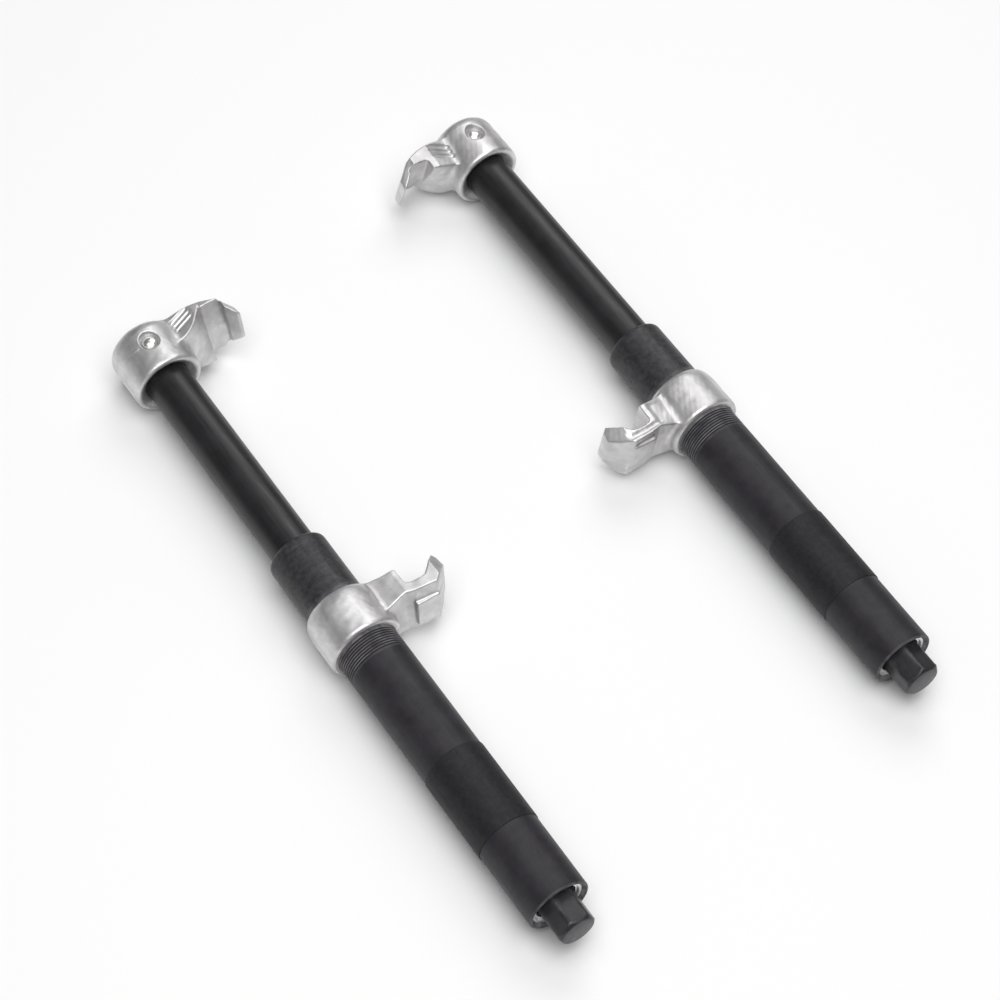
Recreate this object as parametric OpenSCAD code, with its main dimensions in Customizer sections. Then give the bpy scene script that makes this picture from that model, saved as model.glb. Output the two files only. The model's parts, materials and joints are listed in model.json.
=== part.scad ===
// Coil spring compressor: a pair of telescopic compressors lying side by side.
// Each tool has an outer tube with a fixed lower jaw, and an inner tube that carries the upper jaw.
// Turning the hexagon at the rear turns a screw, and its nut draws the inner tube in.
// X runs across the pair, +Y towards the upper jaws, +Z up. The pair rests on Z = 0.

/* [Pair] */
// Distance between the axes of the two tools
pair_spacing = 230; // [190:1:280]
// How far the right tool lies ahead of the left one
right_ahead = 25; // [0:1:40]
// Upward turn of the left tool's lower jaw about the tool's axis
left_lower_turn = 4; // [-15:1:15]
// Upward turn of the left tool's upper jaw about the tool's axis
left_upper_turn = 6; // [-15:1:15]
// Upward turn of the right tool's lower jaw about the tool's axis
right_lower_turn = 1; // [-15:1:15]
// Upward turn of the right tool's upper jaw about the tool's axis
right_upper_turn = 3; // [-15:1:15]

/* [Inner tube] */
// Outer diameter of the inner tube
inner_od = 25; // [22:0.5:28]
// Bore of the inner tube
inner_id = 19; // [18.8:0.1:20]
// Bare inner tube showing on the left tool
left_extension = 128; // [40:1:170]
// Bare inner tube showing on the right tool
right_extension = 142; // [40:1:170]
// Length of inner tube held inside the upper jaw
head_grip = 26; // [22:1:28]

/* [Outer tube] */
// Outer diameter of the outer tube
tube_od = 33.8; // [33:0.1:36]
// Main bore of the outer tube
tube_bore = 26.5; // [26:0.1:27]
// Length from the collar's front to the outer tube's rear end
body_len = 239.5; // [230:0.5:280]
// Length of the finely threaded band behind the lower jaw
thread_len = 13; // [6:1:20]
// Pitch of that thread
fine_pitch = 1.5; // [1:0.25:2]
// Outer diameter of the wrap band
band_od = 34.7; // [34.4:0.1:36]
// Length of the wrap band
band_len = 48; // [20:1:60]

/* [Guide collar] */
// Outer diameter of the guide collar
collar_od = 33; // [32:0.1:33.6]
// Length of the guide collar in front of the lower jaw
collar_len = 40; // [30:1:50]

/* [Jaws] */
// Outer diameter of the lower jaw's ring
ring_od = 41; // [39:0.5:46]
// Length of the lower jaw's ring
ring_len = 28.5; // [26:0.5:38]
// Outer diameter of the upper jaw's socket
head_od = 39.6; // [36:0.2:44]
// Length of the upper jaw's socket
head_len = 33; // [31:1:38]
// Height of the hooks along the spring wire
hook_h = 32; // [24:1:34]
// Width of the mouth that holds the spring wire
mouth_w = 12.5; // [11:0.5:14]
// Lean of the lower hook that follows the coil
lower_lean = 5; // [0:1:10]
// Lean of the upper hook that follows the coil
upper_lean = 10; // [0:1:14]
// Diameter of the pin through the upper jaw
jaw_pin_d = 8; // [6:0.5:9]

/* [Drive] */
// Hexagon across its flats
hex_af = 19; // [17:1:19]
// Hexagon length standing out of the outer tube
hex_out = 16; // [12:0.5:20]
// Turn of the left screw's hexagon, from the sideways axis towards up
left_hex_turn = 52; // [0:1:59]
// Turn of the right screw's hexagon, measured on the tool before it is turned over
right_hex_turn = 37; // [0:1:59]
// Outer diameter of the drive screw's thread
screw_d = 16; // [14:0.5:16]
// Number of balls in the thrust bearing
ball_count = 16; // [8:1:18]
// Diameter of each ball
ball_d = 3.2; // [2.5:0.1:3.3]

/* [Hidden] */
$fn = 96;
fit_gap = 0.05;             // radial running clearance
snug_gap = 0.02;            // radial gap where two fixed pieces meet
ring_mid = -(collar_len + ring_len / 2);
ring_rear = -(collar_len + ring_len);
axis_h = ring_od / 2;       // the tools rest on the rings of their lower jaws
row_len = right_ahead + right_extension + head_len + body_len + hex_out;
front_y = right_ahead + right_extension + head_len;
origin_y = front_y - row_len / 2;

// Guide collar, bush and seal
spigot_d = 29.6;
spigot_len = 24;
bush_od = 27.6;
bush_front = -7;
bush_len = 50;
seal_od = 28.8;
seal_len = 4.5;
seal_front = -1.6;
collar_round = 3;
ring_round = 3.4;

// Rear end of the outer tube, measured from its end face
recess_d = 28;
shoulder_len = 8;
clip_y = 2;
clip_t = 1.2;
washer_t = 2.4;
flange_t = 4;
race_t = 2;
part_gap = 0.3;             // smallest gap between pieces that turn past each other
washer_y = clip_y + clip_t + 0.05;
flange_y = washer_y + washer_t + part_gap + 0.1;
race_y = flange_y + flange_t;
ball_y = race_y + race_t + part_gap + ball_d / 2;
front_race_y = ball_y + ball_d / 2 + part_gap;
shoulder_y = front_race_y + race_t;
ball_ring_r = 11.1;
race_bore = 18.2;
race_od = 26.6;
journal_d = 17;
rear_bush_od = 19.4;

// Screw, nut and stop
nut_len = 26;
nut_flange_t = 3;
tube_inside = 85;           // inner tube inside the collar's front when the left tool shows left_extension
inner_len = left_extension + tube_inside;
screw_front = -1;
stop_len = 7;
stop_od = 18.4;
stop_pin_d = 3;
nut_pin_d = 3;

// Upper jaw
head_round = 7;
lip_len = 1.2;
lip_d = 37.8;
// dished recess in the head's open end, around the inner tube
dish_d = 33.6;
dish_deep = 3.4;
pin_from_lip = 18;
sink_d = 12;
sink_deep = 3.2;

// Places one tool: the right one is the same tool turned over about its own axis
module left_tool() {
    translate([-pair_spacing / 2, -origin_y, axis_h])
        rotate([0, -left_lower_turn, 0])
            children();
}
module right_tool() {
    translate([pair_spacing / 2, right_ahead - origin_y, axis_h])
        rotate([0, 180 + right_lower_turn, 0])
            children();
}
// Moves a piece from the collar's front to the upper jaw's lip, and turns it with the inner tube
module left_slider() {
    left_tool()
        translate([0, left_extension, 0])
            rotate([0, left_lower_turn - left_upper_turn, 0])
                children();
}
module right_slider() {
    right_tool()
        translate([0, right_extension, 0])
            rotate([0, right_upper_turn - right_lower_turn, 0])
                children();
}

// A rod or tube along Y from y0 to y1
module rod(d, y0, y1) {
    translate([0, y0, 0])
        rotate([-90, 0, 0])
            cylinder(d = d, h = y1 - y0);
}
module cone(d0, d1, y0, y1) {
    translate([0, y0, 0])
        rotate([-90, 0, 0])
            cylinder(d1 = d0, d2 = d1, h = y1 - y0);
}
module tube(od, id, y0, y1) {
    difference() {
        rod(od, y0, y1);
        rod(id, y0 - 1, y1 + 1);
    }
}
// A disc of radius r from Y = 0, with its far edge rounded
module rounded_end(r, round_r) {
    rotate([-90, 0, 0])
        rotate_extrude()
            union() {
                square([r - round_r, round_r]);
                translate([r - round_r, 0])
                    intersection() {
                        circle(r = round_r);
                        square(round_r);
                    }
            }
}
// A distance from the outer tube's end face, as a Y position
function rear(d) = d - body_len;

// One V groove of the fine thread, cut all round at y
module thread_groove(y) {
    translate([0, y, 0])
        rotate([-90, 0, 0])
            rotate_extrude()
                polygon([
                    [tube_od / 2 - 0.45, 0],
                    [tube_od / 2 + 0.3, -fine_pitch / 2],
                    [tube_od / 2 + 0.3, fine_pitch / 2]
                ]);
}

module outer_tube() {
    edge = 0.8;
    color([0.10, 0.10, 0.11])
    difference() {
        union() {
            rod(tube_od, rear(edge), -collar_len);
            cone(tube_od - 2 * edge, tube_od, rear(0), rear(edge));
        }
        rod(tube_bore, rear(shoulder_y + shoulder_len), 1 - collar_len);
        rod(spigot_d + 2 * snug_gap, -collar_len - spigot_len - 0.5, 1 - collar_len);
        rod(rear_bush_od + 2 * snug_gap, rear(-1), 0);
        rod(recess_d, rear(-1), rear(shoulder_y));
        rod(recess_d + 1.4, rear(clip_y), rear(clip_y + clip_t + 0.05));
        for (i = [0 : floor(thread_len / fine_pitch) - 1])
            thread_groove(ring_rear - (i + 0.7) * fine_pitch);
    }
}

module guide_collar() {
    color([0.07, 0.07, 0.08])
    difference() {
        union() {
            rod(spigot_d, -collar_len - spigot_len, -collar_len);
            rod(collar_od, -collar_len, -collar_round);
            translate([0, -collar_round, 0])
                rounded_end(collar_od / 2, collar_round);
        }
        rod(bush_od + 2 * snug_gap, -collar_len - spigot_len - 1, bush_front);
        rod(inner_od + 0.8, -collar_len, 1);
        rod(seal_od + 2 * snug_gap, seal_front - seal_len, seal_front);
    }
}

module guide_bush() {
    color([0.72, 0.52, 0.25])
    tube(bush_od, inner_od + 2 * fit_gap, bush_front - bush_len, bush_front);
}

module wiper_seal() {
    color([0.05, 0.05, 0.05])
    tube(seal_od, inner_od + 2 * fit_gap, seal_front - seal_len, seal_front);
}

// Plan outline of the lower hook, from the ring inwards: its mouth opens towards +Y
module lower_outline(mouth = mouth_w) {
    wall_x = 31.5;
    floor_y = -2.5;
    polygon([
        [10, -9],
        [28, -8],
        [46, -9.5],
        [56, 1],
        [55, 6.5],
        [53, 8.5],
        [wall_x + mouth + 2, floor_y + 3.5],
        [wall_x + mouth - 1, floor_y],
        [wall_x + 1.5, floor_y],
        [wall_x, floor_y + 2],
        [wall_x, 9],
        [10, 12]
    ]);
}
// Front outline of a hook: it trims the corners at the ring and at the point of the prong
module hook_front(start, tip) {
    h = hook_h / 2;
    polygon([
        [start, -h + 5],
        [start + 19, -h],
        [tip - 10, -h],
        [tip, -h + 8],
        [tip, h - 7],
        [tip - 8, h],
        [start + 19, h],
        [start, h - 4]
    ]);
}

module lower_jaw() {
    pad_y = -9.4;
    pad_w = 12;
    tip = 57;
    color([0.72, 0.72, 0.70])
    difference() {
        union() {
            translate([0, ring_mid, 0]) {
                cone(ring_od - 4, ring_od, -ring_len / 2, 1.6 - ring_len / 2);
                rod(ring_od, 1.6 - ring_len / 2, ring_len / 2 - ring_round);
                translate([0, ring_len / 2 - ring_round, 0])
                    rounded_end(ring_od / 2, ring_round);
                rotate([-lower_lean, 0, 0])
                    intersection() {
                        translate([0, 0, -hook_h / 2])
                            linear_extrude(hook_h)
                                lower_outline();
                        translate([0, 40, 0])
                            rotate([90, 0, 0])
                                linear_extrude(80)
                                    hook_front(10, tip);
                    }
                rotate([-lower_lean, 0, 0])
                    translate([31, pad_y - 1, -hook_h / 2 + 4])
                        cube([pad_w, 3, hook_h * 0.55]);
            }
        }
        rod(tube_od + 2 * snug_gap, ring_rear - 1, 1 - collar_len);
    }
}

module wrap_band() {
    band_rear = rear(43.5);
    color([0.06, 0.06, 0.07])
    tube(band_od, tube_od + 2 * snug_gap, band_rear, band_rear + band_len);
}

module rear_bush() {
    color([0.72, 0.52, 0.25])
    tube(rear_bush_od, journal_d + 2 * fit_gap, rear(shoulder_y), rear(shoulder_y + shoulder_len));
}

module front_race() {
    color([0.75, 0.75, 0.76])
    tube(race_od, race_bore, rear(front_race_y), rear(front_race_y + race_t));
}

module rear_race() {
    color([0.75, 0.75, 0.76])
    tube(race_od, race_bore, rear(race_y), rear(race_y + race_t));
}

module rear_washer() {
    color([0.80, 0.80, 0.80])
    tube(recess_d - 0.1, hex_af / cos(30) + 0.8, rear(washer_y), rear(washer_y + washer_t));
}

module rear_circlip() {
    gap_w = 5;
    color([0.30, 0.30, 0.32])
    difference() {
        tube(recess_d + 1.2, recess_d - 2.6, rear(clip_y), rear(clip_y + clip_t));
        translate([-gap_w / 2, rear(clip_y) - 1, -recess_d])
            cube([gap_w, clip_t + 2, recess_d]);
    }
}

// Places a child at the middle of each ball
module ball_places() {
    for (i = [0 : ball_count - 1])
        rotate([0, i * 360 / ball_count, 0])
            translate([ball_ring_r, rear(ball_y), 0])
                children();
}

module bearing_balls() {
    color([0.82, 0.82, 0.83])
    ball_places() sphere(d = ball_d, $fn = 48);
}

module bearing_cage() {
    cage_t = 2;
    color([0.75, 0.60, 0.30])
    difference() {
        tube(race_od - 0.2, race_bore, rear(ball_y - cage_t / 2), rear(ball_y + cage_t / 2));
        ball_places() rod(ball_d + 2 * fit_gap, -cage_t, cage_t);
    }
}

// The screw's thread is a plain rod at its outer diameter, and the nut's is a plain bore
module drive_screw(hex_turn) {
    chamfer_len = 2.2;
    corner = hex_af / cos(30);
    color([0.12, 0.12, 0.13])
    difference() {
        union() {
            intersection() {
                rotate([-90, 0, 0])
                    translate([0, 0, rear(-hex_out)])
                        rotate([0, 0, -hex_turn])
                            cylinder(d = corner, h = hex_out + flange_y + 1, $fn = 6);
                union() {
                    cone(corner - 3.6, corner + 0.4, rear(-hex_out), rear(chamfer_len - hex_out));
                    rod(corner + 0.4, rear(chamfer_len - hex_out), rear(flange_y + 1));
                }
            }
            rod(race_od, rear(flange_y), rear(flange_y + flange_t));
            rod(journal_d, rear(flange_y + flange_t), rear(shoulder_y + shoulder_len + 1));
            rod(screw_d, rear(shoulder_y + shoulder_len), screw_front);
        }
        translate([0, screw_front - stop_len / 2, 0])
            cylinder(d = stop_pin_d + 2 * snug_gap, h = screw_d + 2, center = true);
    }
}

module stop_collar() {
    color([0.55, 0.55, 0.56])
    difference() {
        tube(stop_od, screw_d + 2 * snug_gap, screw_front - stop_len, screw_front);
        translate([0, screw_front - stop_len / 2, 0])
            cylinder(d = stop_pin_d + 2 * snug_gap, h = stop_od + 2, center = true);
    }
}

module stop_pin() {
    color([0.70, 0.70, 0.70])
    translate([0, screw_front - stop_len / 2, 0])
        cylinder(d = stop_pin_d, h = stop_od - 0.6, center = true);
}

// The pieces below slide: their Y is measured from the upper jaw's lip
module nut_pin_place() {
    translate([0, nut_len / 2 - inner_len, 0])
        for (turn = [0, 180])
            rotate([0, turn, 0])
                translate([0, 0, screw_d / 2 + 0.6])
                    children();
}

module inner_tube() {
    color([0.08, 0.08, 0.09])
    difference() {
        tube(inner_od, inner_id, -inner_len, head_grip);
        translate([0, pin_from_lip, 0])
            cylinder(d = jaw_pin_d + 2 * snug_gap, h = inner_od + 2, center = true);
        nut_pin_place() cylinder(d = nut_pin_d + 2 * snug_gap, h = 8);
    }
}

module drive_nut() {
    color([0.68, 0.50, 0.24])
    difference() {
        union() {
            rod(inner_id - 2 * snug_gap, -inner_len - 1, nut_len - inner_len);
            rod(inner_od - 0.6, -inner_len - nut_flange_t, -inner_len);
        }
        rod(screw_d + 2 * fit_gap, -inner_len - 10, 1 + nut_len - inner_len);
        nut_pin_place() cylinder(d = nut_pin_d + 2 * snug_gap, h = 8);
    }
}

module nut_pins() {
    color([0.70, 0.70, 0.70])
    nut_pin_place() cylinder(d = nut_pin_d, h = inner_od / 2 - screw_d / 2 - 1);
}

// Plan outline of the upper hook: its mouth opens towards -Y
module upper_outline(mouth = mouth_w) {
    wall_x = 33;
    floor_y = 18;
    polygon([
        [10, 8],
        [28, 10],
        [wall_x, 12],
        [wall_x + 0.5, floor_y - 2],
        [wall_x + 2.5, floor_y],
        [wall_x + mouth - 2, floor_y],
        [wall_x + mouth + 4.5, 10.5],
        [wall_x + mouth + 6.5, 10],
        [wall_x + mouth + 6, 15.5],
        [wall_x + mouth - 1, 22.5],
        [wall_x + 3, 26],
        [26, 28],
        [10, 29]
    ]);
}

// Where the upper hook's near face lies: straight at its lower end, swept back in a curve at its upper end
function near_face_y(x, z) =
    let (rise = min(max(z / hook_h + 0.5, 0), 1))
    let (swept_y = 11.9 + 0.045 * pow(max(x - 16, 0), 2))
    7.6 + (swept_y - 7.6) * pow(rise, 1.3);

// All that lies before the upper hook's near face
module near_face_cut() {
    back_y = -6;
    xs = [12, 16, 21, 25.5, 29.5, 32, 34.2];
    zs = [-18, -6, 3, 10, 16, 18];
    across = len(xs) - 1;
    up = len(zs) - 1;
    row = len(zs);
    base = len(xs) * row;
    polyhedron(
        points = concat(
            [for (x = xs) for (z = zs) [x, near_face_y(x, z), z]],
            [for (x = [xs[0], xs[across]]) for (z = [zs[0], zs[up]]) [x, back_y, z]]
        ),
        faces = concat(
            [for (i = [0:across - 1]) for (j = [0:up - 1])
                [i * row + j, (i + 1) * row + j, (i + 1) * row + j + 1]],
            [for (i = [0:across - 1]) for (j = [0:up - 1])
                [i * row + j, (i + 1) * row + j + 1, i * row + j + 1]],
            [[base, base + 1, base + 3, base + 2]],
            [concat([base, base + 2], [for (i = [across:-1:0]) i * row])],
            [concat([base + 1], [for (i = [0:across]) i * row + up], [base + 3])],
            [concat([base], [for (j = [0:up]) j], [base + 1])],
            [concat([base + 2, base + 3], [for (j = [up:-1:0]) across * row + j])]
        ),
        convexity = 4
    );
}

// The upper mouth's floor falls back towards the hook's upper end
module floor_fall(mouth = mouth_w) {
    wall_x = 33;
    floor_y = 18;
    reach = hook_h / 2 + 1;
    translate([wall_x, 0, 0])
        rotate([90, 0, 90])
            linear_extrude(mouth)
                polygon([
                    [floor_y - 2, 0],
                    [floor_y, 0],
                    [floor_y + 0.24 * reach, reach],
                    [floor_y - 2, reach]
                ]);
}

module upper_jaw() {
    r = head_od / 2;
    tip = 52;
    color([0.72, 0.72, 0.70])
    difference() {
        union() {
            cone(lip_d, head_od, 0, lip_len);
            rod(head_od, lip_len, head_len - head_round);
            translate([0, head_len - head_round, 0])
                rounded_end(r, head_round);
            difference() {
                translate([0, 20, 0])
                    rotate([-upper_lean, 0, 0])
                        translate([0, -20, 0])
                            difference() {
                                intersection() {
                                    translate([0, 0, -hook_h / 2])
                                        linear_extrude(hook_h)
                                            upper_outline();
                                    translate([0, 60, 0])
                                        rotate([90, 0, 0])
                                            linear_extrude(80)
                                                hook_front(10, tip);
                                }
                                floor_fall();
                            }
                near_face_cut();
            }
        }
        rod(inner_od + 2 * snug_gap, -1, head_grip);
        rod(inner_od - 8, -1, head_grip + 2);
        cone(dish_d, inner_od + 1, -0.01, dish_deep);
        translate([0, pin_from_lip, 0]) {
            cylinder(d = jaw_pin_d + 2 * snug_gap, h = head_od + 2, center = true);
            for (turn = [0, 180])
                rotate([0, turn, 0])
                    translate([0, 0, r - sink_deep])
                        cylinder(d1 = jaw_pin_d, d2 = sink_d + 2, h = sink_deep + 1);
        }
    }
}

module jaw_pin() {
    dome = 1.6;
    half = head_od / 2 - 1.1;
    color([0.82, 0.82, 0.80])
    translate([0, pin_from_lip, 0])
        intersection() {
            cylinder(d = jaw_pin_d, h = 2 * half, center = true);
            union() {
                cylinder(d = jaw_pin_d + 1, h = 2 * (half - dome), center = true);
                for (turn = [0, 180])
                    rotate([0, turn, 0])
                        translate([0, 0, half - (jaw_pin_d / 2 + dome)])
                            sphere(r = jaw_pin_d / 2 + dome);
            }
        }
}

left_tool() outer_tube();  // left_outer_tube
left_tool() guide_collar();  // left_guide_collar
left_tool() guide_bush();  // left_guide_bush
left_tool() wiper_seal();  // left_wiper_seal
left_tool() lower_jaw();  // left_lower_jaw
left_tool() wrap_band();  // left_wrap_band
left_tool() rear_bush();  // left_rear_bush
left_tool() front_race();  // left_front_race
left_tool() rear_washer();  // left_rear_washer
left_tool() rear_circlip();  // left_rear_circlip
left_tool() bearing_balls();  // left_bearing_balls
left_tool() bearing_cage();  // left_bearing_cage
left_tool() drive_screw(left_hex_turn);  // left_drive_screw
left_tool() rear_race();  // left_rear_race
left_tool() stop_collar();  // left_stop_collar
left_tool() stop_pin();  // left_stop_pin
left_slider() inner_tube();  // left_inner_tube
left_slider() upper_jaw();  // left_upper_jaw
left_slider() jaw_pin();  // left_jaw_pin
left_slider() drive_nut();  // left_drive_nut
left_slider() nut_pins();  // left_nut_pins
right_tool() outer_tube();  // right_outer_tube
right_tool() guide_collar();  // right_guide_collar
right_tool() guide_bush();  // right_guide_bush
right_tool() wiper_seal();  // right_wiper_seal
right_tool() lower_jaw();  // right_lower_jaw
right_tool() wrap_band();  // right_wrap_band
right_tool() rear_bush();  // right_rear_bush
right_tool() front_race();  // right_front_race
right_tool() rear_washer();  // right_rear_washer
right_tool() rear_circlip();  // right_rear_circlip
right_tool() bearing_balls();  // right_bearing_balls
right_tool() bearing_cage();  // right_bearing_cage
right_tool() drive_screw(right_hex_turn);  // right_drive_screw
right_tool() rear_race();  // right_rear_race
right_tool() stop_collar();  // right_stop_collar
right_tool() stop_pin();  // right_stop_pin
right_slider() inner_tube();  // right_inner_tube
right_slider() upper_jaw();  // right_upper_jaw
right_slider() jaw_pin();  // right_jaw_pin
right_slider() drive_nut();  // right_drive_nut
right_slider() nut_pins();  // right_nut_pins
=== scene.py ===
"""Looks of the coil spring compressor: detailed forged jaws, turned tubes and procedural materials.

Every detailed piece is built in its tool's own frame, in millimetres: x points inwards to the spring,
y = 0 at the front of the guide collar with + towards the upper jaw, and z is up. place() then puts it
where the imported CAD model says.
"""
import json
import math

import bmesh
import bpy
import numpy as np
import openvdb
from mathutils import Matrix, Vector

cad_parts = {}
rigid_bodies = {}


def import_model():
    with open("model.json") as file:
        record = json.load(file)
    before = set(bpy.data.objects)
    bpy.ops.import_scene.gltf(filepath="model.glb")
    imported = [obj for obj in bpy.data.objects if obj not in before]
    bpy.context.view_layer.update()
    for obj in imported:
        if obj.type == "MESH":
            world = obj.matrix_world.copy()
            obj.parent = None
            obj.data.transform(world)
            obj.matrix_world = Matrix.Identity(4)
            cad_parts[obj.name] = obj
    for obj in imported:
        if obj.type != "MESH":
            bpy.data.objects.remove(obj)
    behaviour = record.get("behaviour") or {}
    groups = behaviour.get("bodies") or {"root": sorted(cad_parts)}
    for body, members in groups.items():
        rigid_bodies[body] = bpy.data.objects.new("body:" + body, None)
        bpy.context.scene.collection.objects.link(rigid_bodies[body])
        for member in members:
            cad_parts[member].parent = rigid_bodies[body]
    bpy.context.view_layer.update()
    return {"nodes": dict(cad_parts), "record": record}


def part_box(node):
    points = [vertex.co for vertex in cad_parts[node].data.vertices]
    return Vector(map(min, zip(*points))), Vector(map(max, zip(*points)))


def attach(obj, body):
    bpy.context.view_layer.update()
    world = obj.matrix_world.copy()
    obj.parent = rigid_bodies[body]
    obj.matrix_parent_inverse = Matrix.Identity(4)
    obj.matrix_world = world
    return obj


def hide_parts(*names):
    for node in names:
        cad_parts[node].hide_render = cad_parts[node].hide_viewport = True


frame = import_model()
MM = 0.001

# ---------------------------------------------------------------- sizes of one tool, in mm
TUBE_R = 16.9
TUBE_BORE_R = 14.0
COLLAR_R = 16.5
COLLAR_LEN = 40.0
SPIGOT_R = TUBE_BORE_R - 0.18
SHOULDER_R = 14.8
GUIDE_BORE_R = 12.9
WIPER_SEAT_R = 14.42
WIPER_FRONT, WIPER_REAR = -1.6, -6.1
COLLAR_GROOVES, COLLAR_GROOVE_PITCH = 22, 1.4
RING_R = 20.5
RING_LEN = 28.5
RING_MID = -(COLLAR_LEN + RING_LEN / 2)
RING_REAR = -(COLLAR_LEN + RING_LEN)
BODY_LEN = 239.5
GUIDE_SEAT_R = TUBE_BORE_R + 0.82
GUIDE_SEAT_REAR = -64.5
MIDDLE_BORE_R = 13.25
WEB_BORE_R = 9.72
WEB_FRONT, WEB_REAR = -213.6, -221.6
GROOVE_DEPTH = 0.7
GROOVE_FROM_REAR = (2.0, 3.25)
BAND_R = 17.35
BAND_LEN = 48.0
BAND_REAR = 43.5 - BODY_LEN
THREAD_LEN = 13.0
THREAD_PITCH = 1.5
THREAD_DEPTH = 0.42
INNER_R = 12.5
INNER_BORE_R = 9.5
HEAD_R = 19.8
HEAD_LEN = 33.0
HEAD_GRIP = 26.0
PIN_FROM_LIP = 18.0
PIN_R = 4.0
HOOK_H = 32.0
MOUTH = 12.5
LOWER_LEAN = 5.0
UPPER_LEAN = 10.0
INNER_LEN = 213.0
HEX_FLATS = 19.0
HEX_OUT = 16.0
HEX_CORNER = HEX_FLATS / 2 / math.cos(math.radians(30))
SCREW_R = 8.0
SCREW_ROOT_R = 7.0
SCREW_PITCH = 2.0
SCREW_THREAD_REAR, SCREW_THREAD_FRONT = -205.0, -9.5
FLANGE_R = 13.3
FLANGE_REAR, FLANGE_FRONT = -233.45, -229.45
JOURNAL_R = 8.5
JOURNAL_FRONT = -213.6
PIN_HALF = HEAD_R - 1.1
PIN_DOME = 2.0
LOWER_WALL, LOWER_FLOOR = 31.5, -2.5
UPPER_WALL, UPPER_FLOOR = 33.0, 18.0
FIT = 0.02
SINK_DEPTH = 3.4
DISH_R, DISH_SLOPE = 16.8, 1.118

# flutes of the upper arm: where each starts, their slope, radius, middle and half length
FLUTES = (15.4, 18.6, 21.8)
FLUTE_SLOPE = 0.30
FLUTE_R = 1.75
FLUTE_MID, FLUTE_HALF = 22.5, 7.0

# size and corners of the grid that the jaws are meshed on, in mm
VOXEL = 0.42
LOWER_REACH = ((-22.5, -70.5, -22.5), (60.0, -37.0, 23.0))
UPPER_REACH = ((-21.5, -1.5, -22.0), (56.0, 36.0, 22.0))

# points round each turned piece
TUBE_POINTS = 160
SCREW_POINTS = 96
PIN_POINTS = 48

# an edge is shaded sharp where its two faces turn by more than this
CREASE = math.radians(32)


class Tool:
    """One of the two tools: where it lies, and by how many degrees its jaws and hexagon are turned."""

    def __init__(self, side, lower_turn, upper_turn, hex_turn):
        low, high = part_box(side + "_outer_tube")
        tube_rear = low.y / MM
        self.side = side
        self.hex_turn = hex_turn
        self.x = (low.x + high.x) / 2 / MM
        self.z = (low.z + high.z) / 2 / MM
        self.y = tube_rear + BODY_LEN
        self.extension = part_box(side + "_upper_jaw")[0].y / MM - self.y
        over = 0.0 if side == "left" else 180.0
        sign = -1.0 if side == "left" else 1.0
        self.lower_angle = over + sign * lower_turn
        self.upper_angle = over + sign * upper_turn

    def matrix(self, slider):
        """From the tool's own frame in mm to the shared frame in metres."""
        angle = self.upper_angle if slider else self.lower_angle
        ahead = self.extension if slider else 0.0
        move = Matrix.Translation(Vector((self.x, self.y + ahead, self.z)) * MM)
        return move @ Matrix.Rotation(math.radians(angle), 4, "Y") @ Matrix.Scale(MM, 4)


TOOLS = [
    Tool("left", lower_turn=4.0, upper_turn=6.0, hex_turn=52.0),
    Tool("right", lower_turn=1.0, upper_turn=3.0, hex_turn=37.0),
]


# ---------------------------------------------------------------- distance fields, in mm
def smooth_min(a, b, k):
    """Union of two distance fields with a fillet of about k."""
    h = np.maximum(k - np.abs(a - b), 0.0) / k
    return np.minimum(a, b) - h * h * k * 0.25


def smooth_max(a, b, k):
    """What two distance fields share, its edge rounded by about k."""
    return -smooth_min(-a, -b, k)


def rod_field(x, z, r):
    """Distance to an endless round rod, given the two coordinates across it."""
    return np.sqrt(x * x + z * z) - r


def run_distance(px, py, start, end):
    """Squared distance to a straight run in a plane."""
    ex, ey = end[0] - start[0], end[1] - start[1]
    wx, wy = px - start[0], py - start[1]
    t = np.clip((wx * ex + wy * ey) / (ex * ex + ey * ey), 0, 1)
    return (wx - ex * t) ** 2 + (wy - ey * t) ** 2


def polygon_field(px, py, points):
    """Signed distance to a closed polygon in a plane, negative inside."""
    count = len(points)
    best = np.full(px.shape, 1e9, np.float32)
    inside = np.zeros(px.shape, bool)
    for i in range(count):
        ax, ay = points[i]
        bx, by = points[(i + 1) % count]
        best = np.minimum(best, run_distance(px, py, (ax, ay), (bx, by)))
        crosses = (ay > py) != (by > py)
        if by - ay:
            inside ^= crosses & (px < (bx - ax) * (py - ay) / (by - ay) + ax)
    return np.where(inside, -1.0, 1.0) * np.sqrt(best)


def arc(cx, cy, r, start, end, count):
    """So many points along an arc, angles in degrees."""
    return [(cx + r * math.cos(math.radians(a)), cy + r * math.sin(math.radians(a)))
            for a in np.linspace(start, end, count)]


def lathe_field(x, y, z, profile):
    """A profile of (radius, y) points turned about the tool's axis."""
    return polygon_field(np.sqrt(x * x + z * z), y, profile)


def forge_ripple(x, y, z):
    """The faint waviness of a forged skin."""
    wave = np.sin(0.61 * x + 0.9 * np.sin(0.33 * y)) * np.sin(0.53 * y + 0.8 * np.sin(0.47 * z))
    fine = np.sin(1.31 * x - 0.7 * z) * np.sin(1.17 * y + 1.03 * z + 0.6 * x)
    return 0.05 * wave + 0.025 * fine


def lean(x, y, z, degrees, about_y=0.0):
    """Undoes a lean of -degrees about X, so that a hook can be described upright."""
    a = math.radians(degrees)
    dy = y - about_y
    return x, about_y + dy * math.cos(a) - z * math.sin(a), dy * math.sin(a) + z * math.cos(a)


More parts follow.
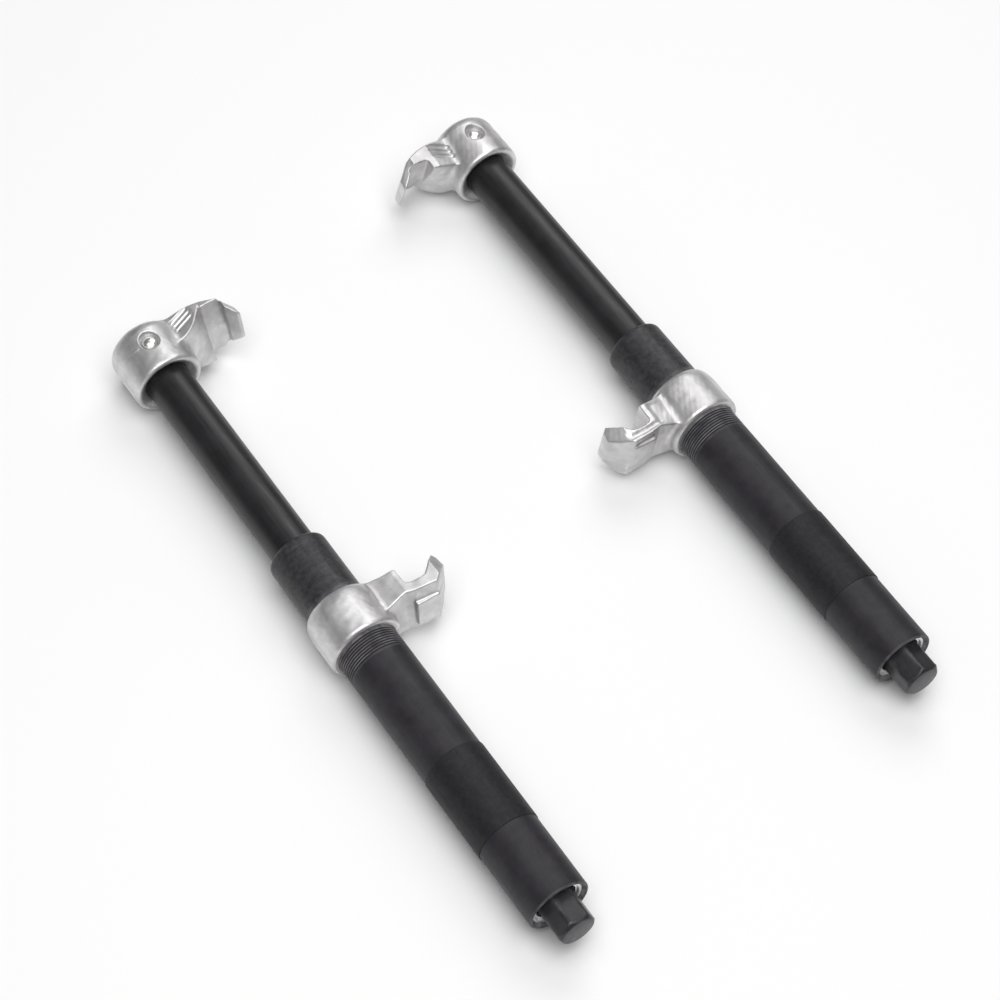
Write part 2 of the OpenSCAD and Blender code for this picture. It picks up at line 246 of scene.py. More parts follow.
def hook_field(x, y, z, outline, start, tip, rounding):
    """A hook: its plan outline, cut to its front outline, with rounded edges."""
    half = HOOK_H / 2
    front = [
        (start, 5 - half), (start + 19, -half), (tip - 10, -half), (tip, 8 - half),
        (tip, half - 7), (tip - 8, half), (start + 19, half), (start, half - 4),
    ]
    plan = polygon_field(x, y, outline) + rounding
    face = polygon_field(x, z, front) + rounding
    outer = np.sqrt(np.maximum(plan, 0) ** 2 + np.maximum(face, 0) ** 2)
    return outer + np.minimum(np.maximum(plan, face), 0) - rounding


def path_field(px, py, points):
    """Distance to a path of straight runs in a plane."""
    best = np.full(px.shape, 1e9)
    for start, end in zip(points, points[1:]):
        best = np.minimum(best, run_distance(px, py, start, end))
    return np.sqrt(best)


def box_field(x, y, z, low, high, rounding):
    """A box between two corners, with its edges rounded."""
    centre = [(a + b) / 2 for a, b in zip(low, high)]
    half = [(b - a) / 2 - rounding for a, b in zip(low, high)]
    d = [np.abs(v - c) - h for v, c, h in zip((x, y, z), centre, half)]
    outer = np.sqrt(sum(np.maximum(v, 0) ** 2 for v in d))
    return outer + np.minimum(np.maximum(np.maximum(d[0], d[1]), d[2]), 0) - rounding


# ---------------------------------------------------------------- the two forged jaws
def lower_jaw_field(x, y, z):
    """The lower jaw: a rounded ring round the tube, and a hook with a padded near face."""
    v = y - RING_MID
    half = RING_LEN / 2
    crown_r = RING_R - 0.05
    ring = [(0, -half), (crown_r - 1.5, -half), (crown_r - 0.4, -half + 0.7), (crown_r, -half + 2.0)]
    fall, depth = 9.5, 3.3
    ring += [(crown_r, half - fall)]
    ring += [(crown_r - depth * (1 - math.cos(t)), half - fall + fall * math.sin(t))
             for t in np.linspace(0.25, math.pi / 2, 7)]
    ring += [(0, half)]
    body = lathe_field(x, v, z, ring)

    wall, floor = LOWER_WALL, LOWER_FLOOR
    outline = [(8, -11.0), (14, -9.8), (20, -8.6), (25, -7.5), (28.5, -7.1), (34, -8.5), (46, -9.6)]
    outline += [(51.5, -4.5), (56, 1), (55, 6.5), (53, 8.5), (wall + MOUTH + 2, floor + 3.5)]
    outline += [(wall + MOUTH - 1.2, floor + 0.4), (wall + MOUTH - 3.2, floor)]
    outline += [(wall + 3.5, floor), (wall + 1.2, floor + 0.7), (wall, floor + 2.6)]
    outline += [(wall, 9), (24, 9.8), (17, 11.2), (8, 12.6)]
    hx, hy, hz = lean(x, v, z, LOWER_LEAN)
    hook = hook_field(hx, hy, hz, outline, 10, 57, 0.9)
    # one side of the hook carries a shallow channel between two raised rims
    channel = path_field(hx, hy, [(27.0, -4.4), (36.0, -5.6), (46.5, -5.9), (51.5, 0.5)])
    channel = np.sqrt(channel ** 2 + (hz + HOOK_H / 2 + 1.5) ** 2) - 2.3
    hook = smooth_max(hook, -channel, 0.6)
    # on the same side, the arm beside the ring is forged a little lower than the hook's rim
    hollow = box_field(hx, hy, -hz, (14, -5.5, HOOK_H / 2 - 1.3), (27.0, 7.5, 22), 1.3)
    hook = smooth_max(hook, -hollow, 1.6)
    # a raised pad stands on the near face, with a dimple beside it
    pad = box_field(hx, hy, hz, (32.5, -11.0, -11.5), (46.5, -6.0, 6.5), 0.9)
    hook = smooth_min(hook, pad, 1.0)
    dimple = np.sqrt((hx - 30.6) ** 2 + (hy + 9.6) ** 2 + (hz + 10.5) ** 2) - 1.7
    hook = smooth_max(hook, -dimple, 0.6)
    solid = smooth_min(body, hook, 2.6) + forge_ripple(x, y, z)
    bore = rod_field(x, z, TUBE_R + FIT)
    return np.maximum(solid, -bore)


def upper_jaw_field(x, y, z):
    """The upper jaw: a head on the inner tube, and a fluted hook with a twisted near face."""
    top = HEAD_LEN - 7.0
    skin = HEAD_R - 0.06
    socket = [(0, 0.05), (skin - 1.9, 0.05), (skin - 1.2, 0.2), (skin - 0.5, 0.7), (skin - 0.1, 1.5)]
    socket += [(skin, 2.6), (skin, top)] + arc(skin - 6.9, top, 6.8, 12, 90, 8) + [(0, HEAD_LEN - 0.2)]
    body = lathe_field(x, y, z, socket)

    wall, floor = UPPER_WALL, UPPER_FLOOR
    outline = [(8, 4.0), (16, 6.2), (22, 8.6), (28, 10.6), (wall, 11.6), (wall + 0.6, floor - 2.4)]
    outline += [(wall + 1.4, floor - 0.6), (wall + 3.2, floor), (wall + MOUTH - 3.2, floor)]
    outline += [(wall + MOUTH - 1.6, floor - 0.7), (wall + MOUTH + 4.5, 10.5), (wall + MOUTH + 6.5, 10)]
    outline += [(wall + MOUTH + 6, 15.5), (wall + MOUTH - 1, 22.5), (wall + 3, 26), (26, 28), (8, 29)]
    hx, hy, hz = lean(x, y, z, UPPER_LEAN, 20.0)
    hook = hook_field(hx, hy, hz, outline, 10, 52, 0.9)
    # the near face is hollow and twists away towards the mouth's upper corner
    rise = np.clip(z / HOOK_H + 0.5, 0, 1)
    upper_edge = 11.9 + 0.045 * np.maximum(x - 16.0, 0) ** 2
    near_edge = 7.6 + (upper_edge - 7.6) * rise ** 1.3
    face_cut = (near_edge - y) * 0.75
    face_cut = smooth_min(face_cut, 34.2 - x, 1.0)
    hook = smooth_max(hook, face_cut, 0.9)
    # the mouth's floor leans further back towards its upper end
    floor_cut = (floor + 0.24 * np.maximum(hz, 0) - hy) * 0.97
    floor_cut = smooth_min(floor_cut, smooth_min(hx - wall, wall + MOUTH - hx, 1.0), 2.0)
    hook = smooth_max(hook, floor_cut, 0.6)
    solid = smooth_min(body, hook, 3.2) + forge_ripple(x, y, z)
    # three flutes run along the arm between its two edges, on both of its sides
    for flute in FLUTES:
        across = (hy - flute - FLUTE_SLOPE * (hx - 14.0)) * 0.958
        arm_face = HOOK_H / 2 - np.clip(29 - hx, 0, 19) * np.where(hz > 0, 0.21, 0.263)
        channel = np.sqrt(across ** 2 + (np.abs(hz) - arm_face - 0.4) ** 2) - FLUTE_R
        channel = smooth_max(channel, np.abs(hx - FLUTE_MID) - FLUTE_HALF, 2.6)
        solid = smooth_max(solid, -channel, 0.5)
    # the die's parting line crosses the head beside the pin
    above_skin = rod_field(x, z, skin)
    seam = np.sqrt(above_skin ** 2 + (y - PIN_FROM_LIP + 1.0) ** 2) - 0.42
    seam = smooth_max(seam, x + 7.5, 0.5)
    solid = smooth_min(solid, np.maximum(seam, above_skin - 0.03), 0.5)
    # the pin lies in a countersunk hole
    sink_floor = HEAD_R - SINK_DEPTH
    sink_r = 4.1 + np.clip(np.abs(z) - sink_floor, 0, 4) * 0.6
    sink = np.maximum(rod_field(x, y - PIN_FROM_LIP, sink_r), sink_floor - np.abs(z))
    pin_hole = rod_field(x, y - PIN_FROM_LIP, PIN_R + FIT)
    solid = smooth_max(solid, -sink, 0.5)
    solid = np.maximum(solid, -pin_hole)
    # the tube's socket, a relief behind it, and a dished lip
    bore = np.maximum(rod_field(x, z, INNER_R + FIT), y - HEAD_GRIP)
    relief = np.maximum(rod_field(x, z, INNER_R - 4.0), y - HEAD_GRIP - 2)
    dish = rod_field(x, z, DISH_R - y * DISH_SLOPE) * 0.667
    solid = smooth_max(solid, -dish, 0.8)
    return np.maximum(np.maximum(solid, -bore), -relief)


def settle(field, points, reach):
    """Moves each point along the field's slope onto its surface."""
    step = 0.05
    px, py, pz = points.T
    here = field(px, py, pz)
    slope = np.stack([
        field(px + step, py, pz) - field(px - step, py, pz),
        field(px, py + step, pz) - field(px, py - step, pz),
        field(px, py, pz + step) - field(px, py, pz - step),
    ]) / (2 * step)
    length = np.maximum((slope ** 2).sum(0), 0.3)
    return points - np.clip((here / length * slope).T, -reach, reach)


def relax(points, quads, amount):
    """Moves each point towards the mean of its neighbours, so that quads stay even."""
    total = np.zeros_like(points)
    count = np.zeros(len(points))
    for i in range(4):
        a, b = quads[:, i], quads[:, (i + 1) % 4]
        for one, other in ((a, b), (b, a)):
            for axis in range(3):
                total[:, axis] += np.bincount(one, points[other, axis], len(points))
            count += np.bincount(one, minlength=len(points))
    return points + amount * (total / np.maximum(count, 1)[:, None] - points)


def mesh_of_field(field, low, high):
    """Even quads on a field's surface."""
    axes = [np.arange(a, b, VOXEL, dtype=np.float32) for a, b in zip(low, high)]
    x, y, z = np.meshgrid(*axes, indexing="ij")
    limit = 3 * VOXEL
    values = np.clip(field(x, y, z), -limit, limit).astype(np.float32)
    grid = openvdb.FloatGrid(limit)
    grid.copyFromArray(values)
    points, quads = grid.convertToQuads(0.0)
    points = points.astype(np.float64) * VOXEL + np.array(low)
    for _ in range(4):
        points = relax(settle(field, points, VOXEL / 2), quads, 0.5)
    return settle(field, points, VOXEL / 4), quads[:, ::-1]


# ---------------------------------------------------------------- pieces
def place(name, points, faces, tool, slider=False):
    """Makes an object from points in the tool's own frame, already where it belongs."""
    matrix = np.array(tool.matrix(slider))
    points = np.asarray(points, float) @ matrix[:3, :3].T + matrix[:3, 3]
    mesh = bpy.data.meshes.new(name)
    mesh.from_pydata(points.tolist(), [], [list(map(int, f)) for f in faces])
    mesh.validate()
    tidy = bmesh.new()
    tidy.from_mesh(mesh)
    bmesh.ops.remove_doubles(tidy, verts=tidy.verts, dist=1e-7)
    bmesh.ops.recalc_face_normals(tidy, faces=tidy.faces)
    tidy.to_mesh(mesh)
    tidy.free()
    mesh.polygons.foreach_set("use_smooth", [True] * len(mesh.polygons))
    obj = bpy.data.objects.new(name, mesh)
    bpy.context.scene.collection.objects.link(obj)
    return obj


def finish_piece(obj, materials, slot, body, *nodes):
    """Gives a piece its slot's material, hides the CAD nodes it stands for, and hangs it on the body it
    rides on.
    """
    obj.data.materials.append(materials[slot])
    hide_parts(*nodes)
    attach(obj, body)


def wall_faces(rings, seg, closed=False):
    """Quads from each ring of seg points to the next, and from the last to the first if closed."""
    faces = []
    for i in range(rings if closed else rings - 1):
        j = (i + 1) % rings
        for k in range(seg):
            m = (k + 1) % seg
            faces.append((i * seg + k, i * seg + m, j * seg + m, j * seg + k))
    return faces


def turned(profile):
    """Points and faces of a closed profile of (radius, y) turned about the tool's axis."""
    angles = np.arange(TUBE_POINTS) * 2 * math.pi / TUBE_POINTS
    points = [(r * math.cos(a), y, r * math.sin(a)) for r, y in profile for a in angles]
    return points, wall_faces(len(profile), TUBE_POINTS, closed=True)


def tube_profile(outer, inner, y0, y1, edge, rows):
    """A tube's wall with rounded outer edges and eased inner ones, in so many rows along its length."""
    ease = min(edge, 0.35)
    points = [(inner + ease, y0), (outer - edge, y0)]
    points += [(outer - edge + edge * math.sin(t), y0 + edge - edge * math.cos(t))
               for t in np.linspace(0.3, math.pi / 2, 5)]
    points += [(outer, y0 + edge + (y1 - y0 - 2 * edge) * i / rows) for i in range(1, rows)]
    points += [(outer - edge + edge * math.cos(t), y1 - edge + edge * math.sin(t))
               for t in np.linspace(0, math.pi / 2 - 0.3, 5)]
    points += [(outer - edge, y1), (inner + ease, y1), (inner, y1 - ease), (inner, y0 + ease)]
    return points


def band_profile():
    """The thin sleeve round the tube, its outer corners rounded down to the tube's skin."""
    front = BAND_REAR + BAND_LEN
    edge = 0.4
    points = [(TUBE_R + FIT, BAND_REAR)]
    points += [(BAND_R - edge + edge * math.sin(t), BAND_REAR + edge - edge * math.cos(t))
               for t in np.linspace(0.1, math.pi / 2, 6)]
    points += [(BAND_R, BAND_REAR + BAND_LEN * i / 12) for i in range(1, 12)]
    points += [(BAND_R - edge + edge * math.cos(t), front - edge + edge * math.sin(t))
               for t in np.linspace(0, math.pi / 2 - 0.1, 6)]
    return points + [(TUBE_R + FIT, front)]


def outer_tube_profile():
    """The outer tube: rear recess and rim, long barrel, and fine thread behind the lower jaw."""
    rear = -BODY_LEN
    edge = 1.1
    points = [(TUBE_BORE_R, rear + 1.9), (TUBE_R - 1.35, rear + 0.12), (TUBE_R - edge, rear)]
    points += [(TUBE_R - edge + edge * math.sin(t), rear + edge - edge * math.cos(t))
               for t in np.linspace(0.3, math.pi / 2, 5)]
    start = RING_REAR - THREAD_LEN
    points += [(TUBE_R, rear + 1.7), (TUBE_R, rear + 2.5), (TUBE_R, start - 1.6), (TUBE_R, start - 0.9)]
    turns = int(THREAD_LEN / THREAD_PITCH)
    for i in range(turns):
        y = start + (i + 0.3) * THREAD_PITCH
        points += [(TUBE_R, y), (TUBE_R - THREAD_DEPTH, y + THREAD_DEPTH)]
        points += [(TUBE_R - THREAD_DEPTH, y + 0.63), (TUBE_R, y + 1.05)]
    points += [(TUBE_R, -COLLAR_LEN), (GUIDE_SEAT_R, -COLLAR_LEN), (GUIDE_SEAT_R, GUIDE_SEAT_REAR)]
    points += [(MIDDLE_BORE_R, GUIDE_SEAT_REAR), (MIDDLE_BORE_R, WEB_FRONT)]
    points += [(WEB_BORE_R, WEB_FRONT - 0.05), (WEB_BORE_R, WEB_REAR), (TUBE_BORE_R, WEB_REAR - 0.05)]
    groove_rear, groove_front = (rear + y for y in GROOVE_FROM_REAR)
    points += [(TUBE_BORE_R, groove_front), (TUBE_BORE_R + GROOVE_DEPTH, groove_front)]
    points += [(TUBE_BORE_R + GROOVE_DEPTH, groove_rear), (TUBE_BORE_R, groove_rear)]
    return points


def collar_profile():
    """The guide collar: spigot inside the tube, machined grooves outside, and a rounded front."""
    points = [(SPIGOT_R, -64), (SHOULDER_R, -64), (SHOULDER_R, -COLLAR_LEN)]
    points += [(COLLAR_R - 0.3, -COLLAR_LEN), (COLLAR_R, 0.3 - COLLAR_LEN)]
    for i in range(COLLAR_GROOVES):
        y = -36.5 + i * COLLAR_GROOVE_PITCH
        points += [(COLLAR_R, y), (COLLAR_R - 0.05, y + 0.3), (COLLAR_R, y + 0.6)]
    nose = 3.0
    points += arc(COLLAR_R - nose, -nose, nose, 0, 82, 9)
    points += [(GUIDE_BORE_R + 0.3, 0), (GUIDE_BORE_R, -0.3), (GUIDE_BORE_R, WIPER_FRONT)]
    points += [(WIPER_SEAT_R, WIPER_FRONT), (WIPER_SEAT_R, WIPER_REAR), (GUIDE_BORE_R, WIPER_REAR)]
    points += [(GUIDE_BORE_R, -7), (SPIGOT_R, -7)]
    return points


def build_pin(tool):
    """The jaw pin, across the head, with a domed head at each end."""
    upper = [(PIN_R, PIN_HALF - PIN_DOME - 0.6)]
    upper += [(PIN_R * math.sin(t), PIN_HALF - PIN_DOME + PIN_DOME * math.cos(t))
              for t in np.linspace(1.45, 0.0, 10)[:-1]]
    rows = [(r, -h) for r, h in reversed(upper)] + upper
    seg = PIN_POINTS
    angles = np.arange(seg) * 2 * math.pi / seg
    points = [(r * math.cos(a), PIN_FROM_LIP + r * math.sin(a), h) for r, h in rows for a in angles]
    faces = wall_faces(len(rows), seg)
    for row, h in ((0, -PIN_HALF), (len(rows) - 1, PIN_HALF)):
        points.append((0, PIN_FROM_LIP, h))
        centre = len(points) - 1
        faces += [(row * seg + k, row * seg + (k + 1) % seg, centre) for k in range(seg)]
    return place(tool.side + "_jaw_pin_detail", points, faces, tool, slider=True)


def build_screw(tool):
    """The drive screw: a chamfered hexagon, flange and journal, and a long threaded rod."""
    rear = -BODY_LEN - HEX_OUT
    apothem = HEX_FLATS / 2
    seg = SCREW_POINTS
    first_flat = math.radians(tool.hex_turn - 30)

    def hexagon(limit):
        """A hexagon whose corners are cut back to a circle of radius limit."""
        ring = []
        for k in range(seg):
            a = 2 * math.pi * k / seg
            off = (a + math.radians(30)) % math.radians(60) - math.radians(30)
            ring.append((smooth_min(apothem / math.cos(off), limit, 0.6), first_flat + a))
        return ring

    def circle(r):
        """A round ring with as many points as the hexagon."""
        return [(r, first_flat + 2 * math.pi * k / seg) for k in range(seg)]

    rows = [(rear, circle(apothem - 1.0)), (rear + 0.15, circle(apothem - 0.5))]
    rows += [(rear + 0.5 + 0.35 * i, hexagon(apothem - 0.15 + 0.33 * i)) for i in range(6)]
    rows += [(rear + y, hexagon(HEX_CORNER - 0.35)) for y in (2.7, 8.0, 15.0, 21.8)]
    rows += [(FLANGE_REAR, circle(JOURNAL_R + 0.5)), (FLANGE_REAR, circle(FLANGE_R))]
    rows += [(FLANGE_FRONT, circle(FLANGE_R)), (FLANGE_FRONT, circle(JOURNAL_R))]
    rows += [(JOURNAL_FRONT, circle(JOURNAL_R)), (JOURNAL_FRONT + 0.6, circle(SCREW_R))]
    y = SCREW_THREAD_REAR
    while y < SCREW_THREAD_FRONT:
        rows += [(y, circle(SCREW_R)), (y + 0.5, circle(SCREW_ROOT_R))]
        rows += [(y + 1.0, circle(SCREW_ROOT_R)), (y + 1.5, circle(SCREW_R))]
        y += SCREW_PITCH
    rows += [(-1.5, circle(SCREW_R)), (-1.0, circle(SCREW_R - 0.5))]
    points = [(r * math.cos(a), y, r * math.sin(a)) for y, ring in rows for r, a in ring]
    faces = wall_faces(len(rows), seg)
    faces.append(tuple(range(seg)))
    faces.append(tuple(range((len(rows) - 1) * seg, len(rows) * seg)))
    return place(tool.side + "_drive_screw_detail", points, faces, tool)


# ---------------------------------------------------------------- materials
class Nodes:
    """Short calls for building one node material."""

    def __init__(self, name):
        self.material = bpy.data.materials.new(name)
        self.material.use_nodes = True
        self.tree = self.material.node_tree
        self.shader = self.tree.nodes["Principled BSDF"]
        self.coords = self.tree.nodes.new("ShaderNodeTexCoord").outputs["Object"]

    def link(self, a, b):
        """Joins output socket a to input socket b."""
        self.tree.links.new(a, b)

    def stretched(self, scale):
        """The object's coordinates, scaled along each axis."""
        node = self.tree.nodes.new("ShaderNodeMapping")
        node.inputs["Scale"].default_value = scale
        self.link(self.coords, node.inputs["Vector"])
        return node.outputs["Vector"]

    def noise(self, size_mm, detail, rough, vector=None):
        """Noise whose blobs are about size_mm across."""
        node = self.tree.nodes.new("ShaderNodeTexNoise")
        node.inputs["Scale"].default_value = 1.0 / (size_mm * MM)
        node.inputs["Detail"].default_value = detail
        node.inputs["Roughness"].default_value = rough
        self.link(vector or self.coords, node.inputs["Vector"])
        return node.outputs["Fac"]

    def range(self, value, low, high, from_low=0.35, from_high=0.65):
        """Goes from low to high as value goes from from_low to from_high."""
        node = self.tree.nodes.new("ShaderNodeMapRange")
        limits = {"From Min": from_low, "From Max": from_high, "To Min": low, "To Max": high}
        for key, number in limits.items():
            node.inputs[key].default_value = number
        self.link(value, node.inputs["Value"])
        return node.outputs["Result"]

    def mix(self, factor, a, b):
        """Goes from a to b, each a colour or a socket, as factor goes from 0 to 1."""
        node = self.tree.nodes.new("ShaderNodeMix")
        node.data_type = "RGBA"
        self.link(factor, node.inputs["Factor"])
        for socket, value in ((node.inputs["A"], a), (node.inputs["B"], b)):
            if hasattr(value, "links"):
                self.link(value, socket)
            else:
                socket.default_value = (*value, 1.0)
        return node.outputs["Result"]

    def edges(self, low, high):
        """1 on convex edges, 0 elsewhere."""
        node = self.tree.nodes.new("ShaderNodeNewGeometry")
        return self.range(node.outputs["Pointiness"], 0.0, 1.0, low, high)

    def bump(self, height, distance_mm, strength):
        """Adds relief to the shader, on top of any it has already."""
        node = self.tree.nodes.new("ShaderNodeBump")
        node.inputs["Distance"].default_value = distance_mm * MM
        node.inputs["Strength"].default_value = strength
        self.link(height, node.inputs["Height"])
        previous = self.shader.inputs["Normal"].links
        if previous:
            self.link(previous[0].from_socket, node.inputs["Normal"])
        self.link(node.outputs["Normal"], self.shader.inputs["Normal"])


def forged_steel():
    """The jaws' satin forging skin: cloudy tone, streaks along the tool, fine grain, and a painted
    highlight along convex edges.
    """
    n = Nodes("forged_steel")
    cloudy = n.noise(11, 5.0, 0.6)
    streak = n.noise(4.5, 5.0, 0.6, n.stretched((1.0, 0.13, 1.0)))
    grain = n.noise(0.55, 3.0, 0.7)
    tone = n.mix(n.range(cloudy, 0.0, 1.0), (0.52, 0.515, 0.515), (0.77, 0.77, 0.76))
    tone = n.mix(n.range(streak, 0.0, 0.6), tone, (0.62, 0.60, 0.62))
    # painted highlight: convex edges are mixed towards a near-white grey
    tone = n.mix(n.edges(0.58, 0.85), tone, (0.88, 0.88, 0.87))
    n.link(tone, n.shader.inputs["Base Color"])
    n.link(n.range(streak, 0.38, 0.52), n.shader.inputs["Roughness"])
    n.shader.inputs["Metallic"].default_value = 0.86
    n.bump(grain, 0.05, 0.5)
    n.bump(streak, 0.12, 0.5)
    n.bump(cloudy, 0.35, 0.2)
    return n.material


def black_metal(name, dark, light, rough, mottle_mm, gloss, wear_and_highlight_amount, bump_mm=0.03):
    """A blackened steel surface: mottled tone, fine draw marks, and convex edges lightened in patches,
    partly as wear and partly as a painted highlight.
    """
    n = Nodes(name)
    mottle = n.noise(mottle_mm, 6.0, 0.65)
    drawn = n.noise(1.2, 4.0, 0.6, n.stretched((1.0, 0.06, 1.0)))
    grain = n.noise(0.5, 3.0, 0.7)
    tone = n.mix(n.range(mottle, 0.0, 1.0), dark, light)
    tone = n.mix(n.range(grain, 0.0, 0.3, 0.55, 0.75), tone, tuple(1.5 * c for c in light))
    # convex edges lighten in patches: partly edge wear, partly a painted highlight on rims and thread
    # crests
    if wear_and_highlight_amount:
        patch = n.noise(6, 3.0, 0.6)
        wear_and_highlight_tone = n.mix(n.range(patch, 0.0, 1.0), (0.10, 0.095, 0.105), (0.46, 0.45, 0.47))
        tone = n.mix(n.range(n.edges(0.515, 0.555), 0.0, wear_and_highlight_amount, 0.0, 1.0), tone, wear_and_highlight_tone)
    n.link(tone, n.shader.inputs["Base Color"])
    n.link(n.range(drawn, rough - 0.06, rough + 0.08), n.shader.inputs["Roughness"])
    n.shader.inputs["Specular IOR Level"].default_value = gloss
    n.bump(grain, bump_mm, 0.6)
    n.bump(drawn, bump_mm, 0.3)
    return n.material


def plain_metal(name, colour, rough, metallic=1.0):
    """Bright, bronze or rubber pieces: fine turning marks and a little stain."""
    n = Nodes(name)
    stain = n.noise(5, 4.0, 0.6)
    turning = n.noise(0.5, 4.0, 0.6, n.stretched((1.0, 5.0, 1.0)))
    tone = n.mix(n.range(stain, 0.0, 0.5), colour, tuple(0.72 * c for c in colour))
    n.link(tone, n.shader.inputs["Base Color"])
    n.link(n.range(turning, rough - 0.05, rough + 0.1), n.shader.inputs["Roughness"])
    n.shader.inputs["Metallic"].default_value = metallic
    n.bump(turning, 0.02, 0.5)
    return n.material


def make_materials():
    """One material for each of the record's slots, under the slot's name."""
    return {
        "forged_steel": forged_steel(),
        "black_steel": black_metal(
            "black_steel", dark=(0.018, 0.0165, 0.0205), light=(0.029, 0.0265, 0.032),
            rough=0.46, mottle_mm=9, gloss=0.29, wear_and_highlight_amount=0.55),
        "mottled_black": black_metal(
            "mottled_black", dark=(0.014, 0.013, 0.015), light=(0.042, 0.040, 0.044),
            rough=0.42, mottle_mm=2.8, gloss=0.40, wear_and_highlight_amount=0.25, bump_mm=0.05),
        "gloss_black": black_metal(
            "gloss_black", dark=(0.007, 0.006, 0.007), light=(0.012, 0.011, 0.013),
            rough=0.38, mottle_mm=12, gloss=0.50, wear_and_highlight_amount=0.0, bump_mm=0.008),
        "black_oxide": black_metal(
            "black_oxide", dark=(0.014, 0.013, 0.015), light=(0.026, 0.024, 0.028),
            rough=0.36, mottle_mm=6, gloss=0.45, wear_and_highlight_amount=0.22),
        "wrap_sleeve": black_metal(
            "wrap_sleeve", dark=(0.010, 0.010, 0.012), light=(0.019, 0.018, 0.021),
            rough=0.55, mottle_mm=3.0, gloss=0.27, wear_and_highlight_amount=0.0),
        "ground_steel": plain_metal("ground_steel", (0.88, 0.88, 0.87), 0.28),
        "spring_steel": plain_metal("spring_steel", (0.72, 0.72, 0.71), 0.32),
        "bronze": plain_metal("bronze", (0.62, 0.40, 0.18), 0.38),
        "seal_rubber": plain_metal("seal_rubber", (0.02, 0.02, 0.02), 0.60, metallic=0.0),
    }


# ---------------------------------------------------------------- the object
def build_tool(tool, materials):
    """The detailed pieces of one tool, each standing for one node of the CAD model."""
    side = tool.side
    body, slider, screw = side + "_body", side + "_slider", side + "_screw"

    jaw = place(side + "_lower_jaw_forging", *LOWER_MESH, tool)
    finish_piece(jaw, materials, "forged_steel", body, side + "_lower_jaw")
    jaw = place(side + "_upper_jaw_forging", *UPPER_MESH, tool, slider=True)
    finish_piece(jaw, materials, "forged_steel", slider, side + "_upper_jaw")
    finish_piece(build_pin(tool), materials, "ground_steel", slider, side + "_jaw_pin")

    barrel = place(side + "_outer_tube_detail", *turned(outer_tube_profile()), tool)
    finish_piece(barrel, materials, "black_steel", body, side + "_outer_tube")
    collar = place(side + "_guide_collar_detail", *turned(collar_profile()), tool)
    finish_piece(collar, materials, "mottled_black", body, side + "_guide_collar")
    band = place(side + "_wrap_band_detail", *turned(band_profile()), tool)
    finish_piece(band, materials, "wrap_sleeve", body, side + "_wrap_band")
    profile = tube_profile(INNER_R, INNER_BORE_R, -INNER_LEN, HEAD_GRIP, 0.5, 40)
    sleeve = place(side + "_inner_tube_detail", *turned(profile), tool, slider=True)
    finish_piece(sleeve, materials, "gloss_black", slider, side + "_inner_tube")
    finish_piece(build_screw(tool), materials, "black_oxide", screw, side + "_drive_screw")


def sharpen(obj):
    """Keeps crisp turned edges crisp while round surfaces shade smoothly."""
    limit = math.cos(CREASE)
    mesh = bmesh.new()
    mesh.from_mesh(obj.data)
    for edge in mesh.edges:
        if len(edge.link_faces) == 2:
            first, second = edge.link_faces
            edge.smooth = first.normal.dot(second.normal) > limit
    mesh.to_mesh(obj.data)
    mesh.free()


def paint_cad_nodes(materials):
    """The pieces that keep their CAD shape get their record slot's material."""
    slots = {s["node"]: s["material_slot"] for s in frame["record"]["subparts"]}
    for name, obj in frame["nodes"].items():
        obj.data.materials.clear()
        obj.data.materials.append(materials[slots[name]])


# ---------------------------------------------------------------- stage
CAMERA_AT = (-0.5980, -0.7184, 1.2787)
CAMERA_HEADING, CAMERA_DOWN, CAMERA_ROLL = (math.radians(v) for v in (39.40, 53.46, 6.97))
CAMERA_LENS, CAMERA_SENSOR = 108.0, 36.0
FLOOR_Z, FLOOR_REACH, FLOOR_TONE = -0.0005, 6.0, 0.93
WORLD_STRENGTH = 0.17


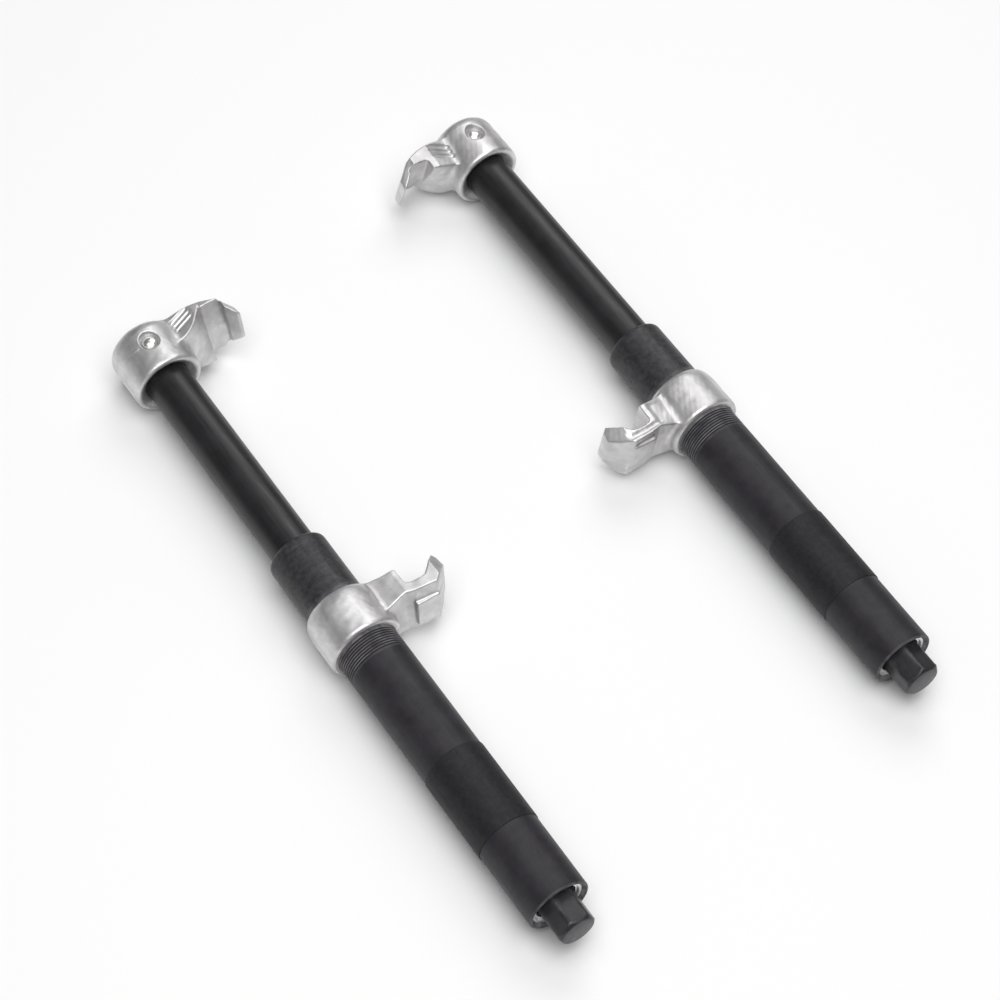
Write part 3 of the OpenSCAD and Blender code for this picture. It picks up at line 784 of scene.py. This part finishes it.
def make_camera():
    """The camera of the studio picture: high to the rear left, slightly rolled."""
    level = math.cos(CAMERA_DOWN)
    forward = Vector((math.sin(CAMERA_HEADING) * level, math.cos(CAMERA_HEADING) * level,
                      -math.sin(CAMERA_DOWN)))
    data = bpy.data.cameras.new("studio_camera")
    data.sensor_width = CAMERA_SENSOR
    data.lens = CAMERA_LENS
    data.clip_end = 50
    camera = bpy.data.objects.new("studio_camera", data)
    bpy.context.scene.collection.objects.link(camera)
    upright = forward.to_track_quat("-Z", "Y").to_matrix().to_4x4()
    roll = Matrix.Rotation(CAMERA_ROLL, 4, "Z")
    camera.matrix_world = Matrix.Translation(CAMERA_AT) @ upright @ roll
    bpy.context.scene.camera = camera


def soft_light(name, place_at, target, size, power):
    """A rectangular light of so many metres and watts, turned towards target."""
    data = bpy.data.lights.new(name, "AREA")
    data.shape = "RECTANGLE"
    data.size, data.size_y = size
    data.energy = power
    obj = bpy.data.objects.new(name, data)
    obj.location = place_at
    obj.rotation_mode = "QUATERNION"
    obj.rotation_quaternion = (Vector(target) - Vector(place_at)).to_track_quat("-Z", "Y")
    bpy.context.scene.collection.objects.link(obj)


def make_stage():
    """The pale floor, the even light of the room and two soft lights."""
    mesh = bpy.data.meshes.new("floor")
    corners = [(FLOOR_REACH * x, FLOOR_REACH * y, FLOOR_Z) for x, y in ((-1, -1), (1, -1), (1, 1), (-1, 1))]
    mesh.from_pydata(corners, [], [(0, 1, 2, 3)])
    floor = bpy.data.objects.new("floor", mesh)
    bpy.context.scene.collection.objects.link(floor)
    pale = Nodes("pale_floor")
    pale.shader.inputs["Base Color"].default_value = (FLOOR_TONE, FLOOR_TONE, FLOOR_TONE, 1)
    pale.shader.inputs["Roughness"].default_value = 0.9
    mesh.materials.append(pale.material)

    world = bpy.data.worlds.new("studio")
    world.use_nodes = True
    background = world.node_tree.nodes["Background"]
    background.inputs["Color"].default_value = (1, 1, 1, 1)
    background.inputs["Strength"].default_value = WORLD_STRENGTH
    bpy.context.scene.world = world
    soft_light("overhead", place_at=(-0.30, -0.45, 2.1), target=(0, 0, 0), size=(2.0, 2.0), power=44)
    soft_light("far_softbox", place_at=(0.92, 0.95, 1.5), target=(0.1, 0, 0), size=(1.2, 1.2), power=11)
    bpy.context.scene.view_settings.view_transform = "Standard"


make_camera()
make_stage()
MATERIALS = make_materials()
LOWER_MESH = mesh_of_field(lower_jaw_field, *LOWER_REACH)
UPPER_MESH = mesh_of_field(upper_jaw_field, *UPPER_REACH)
paint_cad_nodes(MATERIALS)
for one in TOOLS:
    build_tool(one, MATERIALS)
for piece in list(bpy.context.scene.objects):
    if piece.name.endswith("_detail"):
        sharpen(piece)
